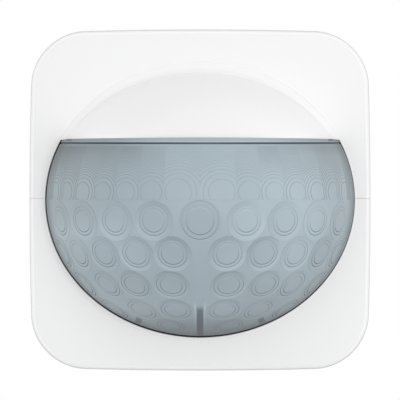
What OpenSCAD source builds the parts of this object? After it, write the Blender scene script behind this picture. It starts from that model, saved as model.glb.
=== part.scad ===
// Motion sensor light switch: a plug-in sensor head with a half-dome lens on a flush wall insert.
// The wall is the plane y = 0, the room lies towards -Y and +Z is up. All sizes are millimetres.
// Names ending in _f are distances in front of the wall. Negative ones lie inside the wall box.

/* [Cover plate] */
// Side of the square cover plate
plate_size = 81; // [80:0.5:90]
// How much the plate's sides bow outwards between its corners
side_bow = 0.84; // [0:0.05:2]
// Radius of the plate's corners
corner_r = 12.5; // [8:0.5:15]
// Front face of the plate from the wall
plate_d = 11; // [10.5:0.5:14]
// Wall of both cover halves
cover_t = 1.8; // [1.4:0.1:2.2]
// Air between the cover's rear edge and the wall
wall_gap = 0.4; // [0.2:0.1:1]
// Height of the seam between the cover halves above the middle
seam_z = 0.4; // [-4:0.1:4]
// Width of the seam
seam_gap = 0.2; // [0.15:0.05:0.5]

/* [Lens and hood] */
// Plate left beside the lens at its widest
side_margin = 3.7; // [3.6:0.1:8]
// Plate left above the hood and below the lens
end_margin = 7.8; // [5:0.1:12]
// Height of the hood above the lens roof
hood_rise = 18.4; // [17.5:0.1:22]
// Wall of the lens
lens_t = 1.6; // [1.2:0.1:2.5]
// Thickness of the lens roof
roof_t = 1.2; // [0.8:0.1:2]
// Air around the lens in the cover's opening
lens_clear = 0.15; // [0.1:0.05:0.4]
// Width of the lens flange behind the cover
flange_w = 1; // [0.6:0.1:1.4]
// Thickness of the lens flange
flange_t = 1.2; // [0.8:0.1:1.6]
// Thickness of the soft lens seal
seal_t = 0.3; // [0.2:0.05:0.4]
// Gap between the lens roof and the hood
hood_gap = 0.4; // [0.3:0.05:0.8]
// Width of the sloping collar above the hood
collar_top_w = 2.9; // [2:0.1:5]
// Width of the sloping collar beside the hood
collar_side_w = 1.1; // [0.8:0.1:3]
// Rise of the collar in front of the plate
collar_h = 2.2; // [1:0.1:4]

/* [Sensor head] */
// Floor of the sensor base
floor_t = 1.6; // [1.2:0.1:2]
// Gap between the insert and the sensor base
head_gap = 0.2; // [0.15:0.05:0.4]
// Air between the sensor base and the cover's inside
base_clear = 0.3; // [0.2:0.05:0.6]
// Height of the rim around the sensor base
rim_h = 1.6; // [1:0.1:3]
// Thickness of the rim and of the lens seat
rim_t = 1.5; // [1:0.1:2.2]
// Height of the standoffs under the sensor board
standoff_h = 1.4; // [1:0.1:1.8]
// Thickness of both circuit boards
board_t = 1.6; // [1:0.1:1.6]
// Air between the sensor board and the lens seat
board_clear = 0.7; // [0.4:0.1:2]
// Air between the lower edge of the sensor board and the baffle
board_gap = 1.4; // [1:0.1:4]
// Screws of the sensor board, in from its widest edge
board_screw_in = 11; // [9:0.5:13]
// Screws of the sensor board, below the lens roof
board_screw_drop = 4; // [3:0.5:6]
// Diameter of the cover pegs
peg_d = 3; // [2.5:0.1:3.5]
// Running clearance of pegs and trimmer spindles in their holes
spin_clear = 0.06; // [0.03:0.01:0.1]
// Pegs in from the plate's edges
peg_in = 10; // [9.5:0.5:11.5]
// Wall of the peg sockets
socket_wall = 1.4; // [1:0.1:2]
// Width of the tongues that latch into the insert
tongue_w = 6; // [4:0.5:8]
// Thickness of the tongues
tongue_t = 1.8; // [1.4:0.1:2.4]
// Tongues in from the housing's mouth
tongue_in = 5.9; // [5:0.1:8]
// How far the tongues reach behind the insert's lid
tongue_reach = 3; // [2:0.5:5]
// Width of the recesses for the heads of the wall box screws
relief_d = 8; // [7:0.5:9]
// Depth of these recesses
relief_deep = 0.8; // [0.5:0.1:1]
// Air around tongues and plug in the openings they enter
slide_clear = 0.3; // [0.25:0.05:0.5]

/* [Detectors] */
// Width of each facet of the detector holder
facet_w = 11; // [10:0.5:12]
// Angle between the holder's facets
facet_angle = 60; // [50:1:65]
// Height of the detector holder
holder_h = 12; // [10:0.5:14]
// Middle of the detector holder above the middle of the plate
holder_z = -1; // [-6:0.5:2]
// Diameter of a detector can
can_d = 8.2; // [7:0.1:9]
// Length of a detector can
can_h = 4.2; // [3:0.1:5]
// Diameter of the flange of a detector can
can_flange_d = 9.1; // [8.5:0.1:9.6]
// Thickness of the infrared windows
window_t = 0.3; // [0.2:0.05:0.5]
// Width of the infrared windows
window_w = 4.6; // [3:0.1:5]
// Height of the infrared windows
window_h = 3.4; // [2.5:0.1:4]
// Diameter of the light sensor
light_d = 5; // [4:0.1:6]
// Height of the light sensor
light_h = 2.6; // [2:0.1:4]
// Diameter of the status lamp
led_d = 3; // [2:0.1:4]
// Height of the status lamp below its round tip
led_h = 3.4; // [2:0.1:5]
// Status lamp and light sensor from the middle
led_x = 17; // [15:0.5:19]
// Thickness of the upright baffle behind the lens
baffle_t = 1.9; // [1.4:0.1:3]
// Height of the baffle above the lowest point of the lens hollow
baffle_h = 6.7; // [5:0.1:7.5]
// Air between lens and baffle
baffle_clear = 0.4; // [0.3:0.05:0.8]
// Side of the square lens posts
post_w = 2; // [1.6:0.1:2.4]
// Lens posts from the middle, sideways
post_x = 14.3; // [13:0.1:16]
// Lens posts above the lowest point of the lens hollow
post_in = 4.5; // [4.1:0.1:5]
// Width of the controller chip
chip_w = 9; // [6:0.5:10]
// Thickness of the controller chip
chip_t = 1.4; // [1:0.1:2]
// Air between the controller chip and the detector holder
chip_gap = 4.5; // [2:0.5:5]

/* [Controls] */
// Thickness of the control panel
panel_t = 1.4; // [1:0.1:2]
// Air between the control panel and the hood's inside
panel_clear = 0.7; // [0.4:0.1:1.2]
// Lower edge of the control panel above the hood's edge
panel_lift = 0.9; // [0.5:0.1:1.5]
// Gap between the slide switch and the trimmers
trim_gap = 2.4; // [2.2:0.1:3]
// Controls above the hood's edge
control_lift = 5.4; // [5.2:0.1:6]
// Side of a trimmer body
trim_w = 7.4; // [6.5:0.1:8]
// Height of the trimmer and switch bodies
trim_h = 4; // [3.5:0.1:4.5]
// Diameter of a trimmer spindle
spindle_d = 4; // [3:0.1:4.5]
// Depth of a spindle in its body
spindle_in = 2.6; // [2:0.1:3]
// Diameter of a trimmer knob
knob_d = 6; // [5:0.1:6.6]
// Height of a trimmer knob above the trimmer body
knob_h = 2.8; // [2:0.1:3.5]
// Width of the screwdriver slots
slot_w = 0.9; // [0.6:0.1:1.2]
// Depth of the screwdriver slots
slot_d = 1; // [0.6:0.1:1.4]
// Air around the knobs in the panel
knob_clear = 0.5; // [0.3:0.05:0.8]
// Width of the slide switch
switch_w = 13; // [12:0.5:15]
// Depth of the slide switch, top to bottom
switch_h = 6.4; // [6:0.1:7]
// Width of the switch slider
slider_w = 4.4; // [3.5:0.1:5]
// Height of the switch slider, top to bottom
slider_h = 2.8; // [2:0.1:3.4]
// Travel of the slider to each side
slider_travel = 2.5; // [2:0.1:3]
// How far the slider stands in front of the panel
slider_out = 1.6; // [1:0.1:2.5]

/* [Flush insert] */
// Air between the support ring and the cover's inside
ring_margin = 3.2; // [2:0.1:4]
// Thickness of the support ring
ring_t = 1.2; // [0.8:0.1:1.6]
// Radius of the ring's corners
ring_r = 7; // [4:0.5:10]
// Diameter of the ring's corner holes
ring_hole_d = 3; // [2:0.1:4]
// Distance of the wall box screws
box_screw_pitch = 60; // [60:0.5:61]
// Width of the screw slots
slot_hole_d = 3.6; // [3.4:0.1:4]
// Length of the screw slots
slot_hole_l = 6.4; // [5.5:0.1:7]
// Side of the insert housing
housing_w = 47; // [46:0.5:48]
// Radius of the housing's corners
housing_r = 13; // [12:0.5:14]
// Depth of the housing in the wall box
housing_d = 31; // [30:0.5:34]
// Wall of the housing
housing_t = 1.6; // [1.2:0.1:1.8]
// Air between the housing and the ring around it
ring_clear = 0.25; // [0.2:0.05:0.4]
// Rim of the lid beyond the housing
lid_rim = 2.5; // [2.2:0.1:2.7]
// Radius of the rim's corners
lid_rim_r = 9; // [7:0.5:9.5]
// Diameter of the stakes that fasten the ring to the lid
stake_d = 2.2; // [1.8:0.1:2.4]
// Stakes out from the housing's corners
stake_out = 2.6; // [2.4:0.1:2.8]
// Air around the stakes in the ring
stake_clear = 0.1; // [0.05:0.01:0.15]
// Thickness of the lid's rim
lid_rim_t = 0.8; // [0.6:0.1:0.8]
// How far the lid reaches into the housing
lid_in = 2; // [1.5:0.1:3]
// Air around the lid
lid_clear = 0.3; // [0.2:0.05:0.4]
// Lid screws in from the housing's inner corners
lid_screw_in = 3.6; // [3.4:0.1:3.7]
// Diameter of a small screw's shank
screw_d = 2.2; // [2:0.1:2.4]
// Diameter of a small screw's head
screw_head_d = 4.2; // [3.8:0.1:4.4]
// Height of a small screw's head
screw_head_h = 1.3; // [1:0.1:1.5]
// Air around a screw shank in its boss
screw_clear = 0.1; // [0.05:0.01:0.15]
// Radius of the screw bosses inside the housing
boss_r = 4; // [3.8:0.1:4.4]
// Length of the screw bosses
boss_l = 10; // [8:0.5:11]

/* [Connector] */
// Width of the socket
socket_w = 18; // [17:0.5:19]
// Height of the socket
socket_h = 8; // [7.5:0.5:9]
// Depth of the socket's hollow
socket_deep = 7; // [6.5:0.5:8]
// Wall of the socket
socket_t = 1.4; // [1:0.1:1.6]
// Pins in a row of the plug
pin_count = 5; // [3:1:6]
// Pitch of the pins
pin_pitch = 2.54; // [2:0.01:2.6]
// Side of a pin
pin_w = 0.7; // [0.5:0.05:0.9]
// Length of the pins behind the sensor base
pin_l = 6; // [4:0.5:6]

/* [Power parts] */
// Gap between the power parts beside the middle
parts_gap = 2; // [1:0.5:3]
// Width of the relay
relay_w = 15; // [14:0.5:16]
// Height of the relay, top to bottom
relay_h = 19; // [18:0.5:20]
// Depth of the relay
relay_d = 12; // [10:0.5:14]
// Width of the film capacitor
film_w = 13; // [11:0.5:14]
// Height of the film capacitor, top to bottom
film_h = 6; // [5:0.5:7]
// Depth of the film capacitor
film_d = 11; // [9:0.5:13]
// Diameter of the bulk capacitor
bulk_d = 8; // [6:0.5:9]
// Length of the bulk capacitor
bulk_l = 11.5; // [10:0.5:13]
// Diameter of the varistor
varistor_d = 9; // [7:0.5:10]
// Thickness of the varistor
varistor_t = 4; // [3:0.5:5]

/* [Terminals] */
// Terminals in the block
terminal_count = 4; // [2:1:4]
// Terminal block in from the housing's inside at each end
terminal_in = 3.9; // [3.5:0.1:5]
// Floor of the terminal block under the clamps
block_floor = 2.4; // [2:0.1:3]
// Height of the terminal block
block_h = 10.6; // [10:0.1:12]
// Depth of the terminal block
block_d = 9.4; // [9:0.1:11]
// Side of a brass clamp
clamp_w = 6; // [5.5:0.1:6.4]
// Wire opening of a clamp
wire_w = 3.4; // [2.8:0.1:3.8]
// Air around the clamps in their pockets
clamp_clear = 0.1; // [0.05:0.01:0.2]
// Diameter of a terminal screw
terminal_screw_d = 2.9; // [2.5:0.1:3.2]
// Diameter of a terminal screw head
terminal_head_d = 4.6; // [4:0.1:5]
// Height of a terminal screw head
terminal_head_h = 1.6; // [1.2:0.1:2]

/* [Hidden] */
$fn = 64;
eps = 0.01;
big = 400;
plate_half = plate_size / 2;
bow_k = side_bow / pow(plate_half, 3);
dome_a = plate_half - side_margin;
dome_b = plate_half - end_margin;
roof_z = dome_b - hood_rise;
crown_a = dome_a - collar_side_w;
crown_b = dome_b - collar_top_w;
crown_f = plate_d + collar_h;
hood_z = roof_z + hood_gap;
cover_in_f = plate_d - cover_t;
lid_front_f = ring_t + lid_rim_t;
floor_f = lid_front_f + head_gap;
deck_f = floor_f + floor_t;
board_f = deck_f + standoff_h;
board_front_f = board_f + board_t;
seal_gap = 0.1;
flange_f = cover_in_f - seal_gap - seal_t - flange_t;
flange_front_f = flange_f + flange_t;
seat_a = dome_a + flange_w;
seat_b = dome_b + flange_w;
seat_wall = rim_t + 0.6;
base_half_in = cover_t + base_clear;
trim_front_f = board_front_f + trim_h;
knob_lift = 0.2;
panel_f = trim_front_f + 0.4;
panel_front_f = panel_f + panel_t;
panel_a = crown_a - cover_t - panel_clear;
panel_b = crown_b - cover_t - panel_clear;
panel_z = hood_z + panel_lift;
slider_base_h = 2;
peg_at = plate_half - peg_in;
board_a = seat_a - seat_wall - board_clear;
board_b = seat_b - seat_wall - board_clear;
baffle_top = dome_b - lens_t - baffle_h;
post_z = dome_b - lens_t - post_in;
board_cut = baffle_top - board_gap;
board_screw_x = board_a - board_screw_in;
board_screw_z = roof_z - roof_t - board_screw_drop;
trim_x = switch_w / 2 + trim_gap + trim_w / 2;
control_z = hood_z + control_lift;
ring_size = plate_size - 2 * (cover_t + ring_margin);
slot_play = 0.3;
leg_d = 1.6;
mouth = housing_w - 2 * housing_t;
mouth_r = housing_r - housing_t;
lid_w = mouth - 2 * lid_clear;
lid_screw_at = mouth / 2 - mouth_r + (mouth_r - lid_screw_in) * cos(45);
tongue_z = mouth / 2 - tongue_in;
terminal_pitch = (mouth - 2 * terminal_in) / terminal_count;
stake_at = housing_w / 2 - housing_r + (housing_r + stake_out) * cos(45);
power_f = -lid_in - boss_l;
power_back_f = power_f - board_t;
back_f = housing_t - housing_d;
terminal_span = (terminal_count - 1) * terminal_pitch;
block_w = terminal_span + terminal_pitch;
block_z = housing_t - housing_w / 2;
clamp_z = block_z + block_floor + clamp_w / 2;
clamp_f = back_f + 0.2 + clamp_w / 2;
facet_drop = facet_w * 0.95;
holder_f = board_front_f + facet_drop * sin(facet_angle);
facet_side_x = facet_w / 2 + facet_drop * cos(facet_angle);

// Shapes that several pieces share

// Prism of a flat outline between two distances in front of the wall
module slab(from_f, to_f)
    translate([0, -from_f, 0])
        rotate([90, 0, 0])
            linear_extrude(to_f - from_f)
                children();

// Half turn of a profile about the upright axis at a distance in front of the wall
module half_turn(axis_f)
    translate([0, -axis_f, 0])
        rotate([0, 0, 180])
            rotate_extrude(angle = 180)
                children();

// Round rod along Y at a place on the front
module rod(x, z, d, from_f, to_f)
    translate([x, -from_f, z])
        rotate([90, 0, 0])
            cylinder(d = d, h = to_f - from_f);

// Box given by its middle on the front, its size there and two distances
module block(x, z, w, h, from_f, to_f)
    translate([x - w / 2, -to_f, z - h / 2])
        cube([w, to_f - from_f, h]);

// Everything above or below a height
module above(z)
    translate([-big / 2, -big / 2, z])
        cube(big);

module below(z)
    translate([-big / 2, -big / 2, z - big])
        cube(big);

function quarter(q, p) = q == 0 ? p : quarter(q - 1, [-p[1], p[0]]);

function rounded(half, r, sides, arcs) = [for (q = [0:3]) each concat(
    [for (i = [0:sides - 1]) quarter(q, [half, (half - r) * (2 * i / sides - 1)])],
    [for (i = [0:arcs - 1]) quarter(q, [half - r + r * cos(90 * i / arcs), half - r + r * sin(90 * i / arcs)])])];

function bowed(points) = [for (p = points) [p[0] * (1 - bow_k * p[1] * p[1]), p[1] * (1 - bow_k * p[0] * p[0])]];

function plate_points(inset) = bowed(rounded(plate_half - inset, corner_r - inset, 8, 8));

// Half ellipse profile from its lowest point up to a height
function dome_half(a, b, top, steps = 40) = let (end = asin(top / b))
    [for (i = [0:steps]) let (t = -90 + (end + 90) * i / steps) [a * cos(t), b * sin(t)]];

// Half ellipse profile from a height up to its highest point
function crown_half(a, b, low, steps = 20) = let (start = asin(low / b))
    [for (i = [0:steps]) let (t = start + (90 - start) * i / steps) [a * cos(t), b * sin(t)]];

function both_sides(half) = concat(half, [for (i = [len(half) - 1:-1:0]) if (half[i][0] > eps) [-half[i][0], half[i][1]]]);

module dome_outline(a, b, top)
    polygon(both_sides(dome_half(a, b, top)));

module crown_outline(a, b, low)
    polygon(both_sides(crown_half(a, b, low)));

// Solid half dome with its straight base behind the turning axis
module dome_solid(a, b, top, base_f) {
    half_turn(plate_d)
        polygon(concat(dome_half(a, b, top), [[0, top]]));
    slab(base_f, plate_d)
        dome_outline(a, b, top);
}

// Space inside the lens, less an air gap
module lens_inside(gap, base_f)
    dome_solid(dome_a - lens_t - gap, dome_b - lens_t - gap, roof_z - roof_t - gap, base_f);

module cover_shell()
    difference() {
        slab(wall_gap, plate_d)
            polygon(plate_points(0));
        slab(wall_gap - 1, cover_in_f)
            polygon(plate_points(cover_t));
    }

module lens_opening()
    slab(cover_in_f - 1, plate_d + 1)
        dome_outline(dome_a + lens_clear, dome_b + lens_clear, hood_z);

module screw(x, z, shank_from_f, head_f) {
    rod(x, z, screw_d, shank_from_f, head_f);
    difference() {
        rod(x, z, screw_head_d, head_f, head_f + screw_head_h);
        block(x, z, screw_head_d + 1, slot_w * 0.7, head_f + screw_head_h * 0.5, head_f + screw_head_h + 1);
    }
}

module trimmer_body(x)
    difference() {
        block(x, control_z, trim_w, trim_w, board_front_f, trim_front_f);
        rod(x, control_z, spindle_d + 2 * spin_clear, trim_front_f - spindle_in - 0.3, trim_front_f + 1);
    }

module trimmer_knob(x)
    difference() {
        union() {
            rod(x, control_z, spindle_d, trim_front_f - spindle_in, trim_front_f + knob_lift + 0.2);
            rod(x, control_z, knob_d, trim_front_f + knob_lift, trim_front_f + knob_h);
        }
        block(x, control_z, knob_d * 0.8, slot_w, trim_front_f + knob_h - slot_d, trim_front_f + knob_h + 1);
        block(x, control_z + knob_d * 0.2, slot_w, knob_d * 0.4, trim_front_f + knob_h - slot_d,
            trim_front_f + knob_h + 1);
    }

// Places an item on each facet of the detector holder, looking along its own -Y
module on_facets() {
    translate([0, -holder_f, holder_z])
        children();
    for (side = [-1, 1])
        translate([side * (facet_w / 2 + facet_side_x) / 2, -(holder_f + board_front_f) / 2, holder_z])
            rotate([0, 0, side * facet_angle])
                children();
}

// Sensor head

module upper_cover()
    color("white") difference() {
        union() {
            intersection() {
                cover_shell();
                above(seam_z + seam_gap / 2);
            }
            intersection() {
                translate([0, -plate_d, 0])
                    rotate([90, 0, 0])
                        linear_extrude(height = collar_h, slices = 1, scale = [crown_a / dome_a, crown_b / dome_b])
                            polygon(both_sides(crown_half(dome_a, dome_b, 0, 32)));
                above(hood_z);
            }
            half_turn(crown_f)
                polygon(concat([[0, hood_z]], crown_half(crown_a, crown_b, hood_z)));
            for (x = [-peg_at, peg_at])
                rod(x, peg_at, peg_d, deck_f + 0.4, cover_in_f + 0.5);
        }
        half_turn(crown_f)
            polygon(concat([[0, hood_z - 1]], crown_half(crown_a - cover_t, crown_b - cover_t, hood_z - 1)));
        slab(cover_in_f - 1, crown_f)
            crown_outline(crown_a - cover_t, crown_b - cover_t, hood_z - 1);
        lens_opening();
    }

module lower_cover()
    color("white") {
        difference() {
            intersection() {
                cover_shell();
                below(seam_z - seam_gap / 2);
            }
            lens_opening();
        }
        for (x = [-peg_at, peg_at])
            rod(x, -peg_at, peg_d, deck_f + 0.4, cover_in_f);
    }

module lens_dome()
    color("lightsteelblue") difference() {
        union() {
            dome_solid(dome_a, dome_b, roof_z, flange_front_f);
            slab(flange_f, flange_front_f)
                dome_outline(seat_a, seat_b, roof_z);
        }
        lens_inside(0, flange_f - 1);
    }

module lens_seal()
    color("dimgray") slab(flange_front_f, flange_front_f + seal_t)
        difference() {
            dome_outline(seat_a, seat_b, roof_z);
            dome_outline(dome_a + seal_gap, dome_b + seal_gap, roof_z + 1);
        }

module sensor_base()
    color("gainsboro") difference() {
        union() {
            slab(floor_f, deck_f)
                polygon(plate_points(base_half_in));
            slab(deck_f, deck_f + rim_h)
                difference() {
                    polygon(plate_points(base_half_in));
                    polygon(plate_points(base_half_in + rim_t));
                }
            slab(deck_f, flange_f)
                difference() {
                    dome_outline(seat_a, seat_b, roof_z);
                    dome_outline(seat_a - seat_wall, seat_b - seat_wall, roof_z + 1);
                }
            for (x = [-peg_at, peg_at], z = [-peg_at, peg_at])
                rod(x, z, peg_d + 2 * socket_wall, deck_f - 0.5, flange_f);
            for (x = [-board_screw_x, board_screw_x], z = [-board_screw_z, board_screw_z])
                rod(x, z, screw_d + 3, deck_f - 0.5, board_f);
            for (z = [-tongue_z, tongue_z])
                block(0, z, tongue_w, tongue_t, -tongue_reach, floor_f + 0.5);
        }
        for (x = [-peg_at, peg_at], z = [-peg_at, peg_at])
            rod(x, z, peg_d + 2 * spin_clear, deck_f, flange_f + 1);
        for (x = [-board_screw_x, board_screw_x], z = [-board_screw_z, board_screw_z])
            rod(x, z, screw_d + 2 * screw_clear, floor_f + 0.4, board_f + 1);
        block(0, 0, socket_w + 2 * slide_clear, socket_h + 2 * slide_clear, floor_f - 1, deck_f + 1);
        for (at = [-box_screw_pitch / 2, box_screw_pitch / 2]) {
            rod(at, 0, relief_d, floor_f - 1, floor_f + relief_deep);
            rod(0, at, relief_d, floor_f - 1, floor_f + relief_deep);
        }
    }

module sensor_board()
    color("seagreen") difference() {
        intersection() {
            slab(board_f, board_front_f)
                polygon(both_sides(dome_half(board_a, board_b, board_b)));
            above(-board_cut);
        }
        for (x = [-board_screw_x, board_screw_x], z = [-board_screw_z, board_screw_z])
            rod(x, z, screw_d + 4 * screw_clear, board_f - 1, board_front_f + 1);
    }

module board_screws()
    color("silver") for (x = [-board_screw_x, board_screw_x], z = [-board_screw_z, board_screw_z])
        screw(x, z, floor_f + 0.6, board_front_f);

module detector_holder()
    color("black") translate([0, 0, holder_z - holder_h / 2])
        linear_extrude(holder_h)
            polygon([[-facet_side_x, -board_front_f], [facet_side_x, -board_front_f],
                [facet_w / 2, -holder_f], [-facet_w / 2, -holder_f]]);

module pir_cans()
    color("silver") on_facets()
        rotate([90, 0, 0]) {
            cylinder(d = can_flange_d, h = 0.6);
            cylinder(d = can_d, h = can_h);
        }

module pir_windows()
    color("black") on_facets()
        translate([-window_w / 2, -can_h - window_t, -window_h / 2])
            cube([window_w, window_t, window_h]);

module light_sensor()
    color("khaki") rod(led_x, 0, light_d, board_front_f, board_front_f + light_h);

module status_led()
    color("firebrick") {
        rod(-led_x, 0, led_d, board_front_f, board_front_f + led_h);
        rod(-led_x, 0, led_d + 0.8, board_front_f, board_front_f + 0.8);
        translate([-led_x, -board_front_f - led_h, 0])
            sphere(d = led_d);
    }

module light_baffle()
    color("black") intersection() {
        lens_inside(baffle_clear, deck_f);
        translate([-baffle_t / 2, -big / 2, -baffle_top - big])
            cube([baffle_t, big, big]);
    }

module lens_posts()
    color("black") for (side = [-1, 1])
        intersection() {
            lens_inside(baffle_clear, deck_f);
            translate([side * post_x, 0, -post_z])
                rotate([0, -side * 20, 0])
                    cube([post_w, big, post_w], center = true);
        }

module control_panel()
    color("whitesmoke") {
        difference() {
            slab(panel_f, panel_front_f)
                crown_outline(panel_a, panel_b, panel_z);
            for (x = [-trim_x, trim_x])
                rod(x, control_z, knob_d + 2 * knob_clear, panel_f - 1, panel_front_f + 1);
            block(0, control_z, slider_w + 2 * slider_travel + 2 * knob_clear, slider_h + 2 * knob_clear,
                panel_f - 1, panel_front_f + 1);
        }
        for (side = [-1, 1], x = [switch_w / 2 + trim_gap / 2, trim_x + trim_w / 2 + trim_gap / 2])
            rod(side * x, panel_z + leg_d / 2, leg_d, board_front_f, panel_f);
    }

module lux_trimmer()
    color("royalblue") trimmer_body(-trim_x);

module lux_knob()
    color("white") trimmer_knob(-trim_x);

module delay_trimmer()
    color("royalblue") trimmer_body(trim_x);

module delay_knob()
    color("white") trimmer_knob(trim_x);

module mode_switch()
    color("dimgray") difference() {
        block(0, control_z, switch_w, switch_h, board_front_f, trim_front_f);
        block(0, control_z, slider_w + 2 * slider_travel + 2 * slot_play, slider_h + 2 * slot_play,
            trim_front_f - slider_base_h - slot_play, trim_front_f + 1);
    }

module mode_slider()
    color("darkgray") difference() {
        block(0, control_z, slider_w, slider_h, trim_front_f - slider_base_h, panel_front_f + slider_out);
        for (x = [-1, 0, 1])
            block(x * slider_w * 0.27, control_z, 0.5, slider_h + 1, panel_front_f + slider_out - 0.5,
                panel_front_f + slider_out + 1);
    }

module sensor_plug()
    color("dimgray") {
        block(0, 0, socket_w, socket_h, floor_f, board_f);
        for (i = [0:pin_count - 1], row = [-0.5, 0.5])
            block((i - (pin_count - 1) / 2) * pin_pitch, row * pin_pitch, pin_w, pin_w, floor_f - pin_l, floor_f);
    }

module controller_chip()
    color("black") block(0, holder_z - holder_h / 2 - chip_gap - chip_w / 2, chip_w, chip_w, board_front_f,
        board_front_f + chip_t);

// Flush insert

module slot_hole(x, z, along_x)
    for (end = [-1, 1])
        translate([x, 0, z])
            rotate([0, along_x ? 0 : 90, 0]) {
                translate([end * (slot_hole_l - slot_hole_d) / 2, 1, 0])
                    rotate([90, 0, 0])
                        cylinder(d = slot_hole_d, h = ring_t + 2);
                translate([-(slot_hole_l - slot_hole_d) / 2, -ring_t - 1, -slot_hole_d / 2])
                    cube([slot_hole_l - slot_hole_d, ring_t + 2, slot_hole_d]);
            }

module support_ring()
    color("silver") difference() {
        slab(0, ring_t)
            difference() {
                polygon(rounded(ring_size / 2, ring_r, 1, 8));
                polygon(rounded(housing_w / 2 + ring_clear, housing_r + ring_clear, 1, 8));
            }
        for (side = [-1, 1]) {
            slot_hole(side * box_screw_pitch / 2, 0, true);
            slot_hole(0, side * box_screw_pitch / 2, false);
            for (z = [-1, 1])
                for (hole = [[ring_size / 2 - ring_r, ring_hole_d], [stake_at, stake_d + 2 * stake_clear]])
                    rod(side * hole[0], z * hole[0], hole[1], -1, ring_t + 1);
        }
    }

module insert_housing()
    color("dimgray") difference() {
        union() {
            difference() {
                slab(-housing_d, ring_t)
                    polygon(rounded(housing_w / 2, housing_r, 1, 8));
                slab(back_f, ring_t + 1)
                    polygon(rounded(mouth / 2, mouth_r, 1, 8));
            }
            intersection() {
                for (x = [-lid_screw_at, lid_screw_at], z = [-lid_screw_at, lid_screw_at])
                    rod(x, z, 2 * boss_r, power_f, -lid_in);
                slab(-housing_d, 0)
                    polygon(rounded(housing_w / 2 - 0.5, housing_r - 0.5, 1, 8));
            }
            for (side = [-1, 1])
                block(side * (mouth / 2 - 0.6), 4, 1.2 + eps, 8, back_f - eps, power_back_f);
        }
        for (x = [-lid_screw_at, lid_screw_at], z = [-lid_screw_at, lid_screw_at])
            rod(x, z, screw_d + 2 * screw_clear, power_f - 1, -lid_in + 1);
        for (i = [0:terminal_count - 1]) {
            block(i * terminal_pitch - terminal_span / 2, clamp_z, wire_w, wire_w, -housing_d - 1, back_f + 1);
            translate([i * terminal_pitch - terminal_span / 2, -clamp_f, block_z - housing_t - 1])
                cylinder(d = terminal_head_d + 0.6, h = housing_t + 1 + block_floor);
        }
    }

module insert_lid()
    color("gray") difference() {
        union() {
            slab(-lid_in, ring_t)
                polygon(rounded(lid_w / 2, mouth_r - lid_clear, 1, 8));
            slab(ring_t, lid_front_f)
                polygon(rounded(housing_w / 2 + lid_rim, lid_rim_r, 1, 8));
            for (x = [-stake_at, stake_at], z = [-stake_at, stake_at])
                rod(x, z, stake_d, 0.1, ring_t + 0.2);
        }
        for (x = [-lid_screw_at, lid_screw_at], z = [-lid_screw_at, lid_screw_at]) {
            rod(x, z, screw_d + 4 * screw_clear, -lid_in - 1, lid_front_f + 1);
            rod(x, z, screw_head_d + 0.4, lid_front_f - screw_head_h - 0.2, lid_front_f + 1);
        }
        for (z = [-tongue_z, tongue_z])
            block(0, z, tongue_w + 2 * slide_clear, tongue_t + 2 * slide_clear, -lid_in - 1, lid_front_f + 1);
        block(0, 0, socket_w + 2 * slide_clear, socket_h + 2 * slide_clear, -lid_in - 1, lid_front_f + 1);
    }

module lid_screws()
    color("silver") for (x = [-lid_screw_at, lid_screw_at], z = [-lid_screw_at, lid_screw_at])
        screw(x, z, power_f + 1, lid_front_f - screw_head_h - 0.2);

module power_board()
    color("seagreen") slab(power_back_f, power_f)
        polygon(rounded(mouth / 2 - 0.4, mouth_r - 0.4, 1, 8));

module relay()
    color("royalblue") block(-parts_gap - relay_w / 2, parts_gap, relay_w, relay_h, power_back_f - relay_d,
        power_back_f);

module film_capacitor()
    color("gold") block(film_w / 2, bulk_d / 2 + parts_gap + film_h / 2, film_w, film_h, power_back_f - film_d,
        power_back_f);

module bulk_capacitor()
    color("navy") rod(parts_gap + bulk_d / 2, 0, bulk_d, power_back_f - bulk_l, power_back_f);

module varistor()
    color("steelblue") translate([2 * parts_gap + bulk_d, -power_back_f + varistor_d / 2, 0])
        rotate([0, 90, 0])
            cylinder(d = varistor_d, h = varistor_t);

module insert_socket()
    color("black") difference() {
        block(0, 0, socket_w, socket_h, power_f, lid_front_f);
        block(0, 0, socket_w - 2 * socket_t, socket_h - 2 * socket_t, lid_front_f - socket_deep, lid_front_f + 1);
    }

module terminal_block()
    color("lightgray") difference() {
        intersection() {
            block(0, block_z + block_h / 2, block_w, block_h, back_f, back_f + block_d);
            slab(-housing_d, 0)
                polygon(rounded(mouth / 2, mouth_r, 1, 8));
        }
        for (i = [0:terminal_count - 1])
            translate([i * terminal_pitch - terminal_span / 2, -clamp_f, 0]) {
                translate([0, 1, clamp_z])
                    cube([clamp_w + 2 * clamp_clear, clamp_w + 2, clamp_w], center = true);
                translate([0, 0, block_z - 1])
                    cylinder(d = terminal_head_d + 0.6, h = block_floor + 1 + eps);
            }
    }

module terminal_clamps()
    color("gold") for (i = [0:terminal_count - 1])
        translate([i * terminal_pitch - terminal_span / 2, -clamp_f, clamp_z])
            difference() {
                cube(clamp_w, center = true);
                cube([wire_w, clamp_w + 1, wire_w], center = true);
                translate([0, 0, -clamp_w])
                    cylinder(d = terminal_screw_d + 2 * screw_clear, h = clamp_w);
            }

module terminal_screws()
    color("silver") for (i = [0:terminal_count - 1])
        translate([i * terminal_pitch - terminal_span / 2, -clamp_f, clamp_z - clamp_w / 2]) {
            cylinder(d = terminal_screw_d, h = (clamp_w - wire_w) / 2 + 0.8);
            difference() {
                translate([0, 0, -terminal_head_h])
                    cylinder(d = terminal_head_d, h = terminal_head_h);
                translate([-terminal_head_d, -slot_w / 2, -terminal_head_h - 1])
                    cube([2 * terminal_head_d, slot_w, 1 + terminal_head_h / 2]);
            }
        }

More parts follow.
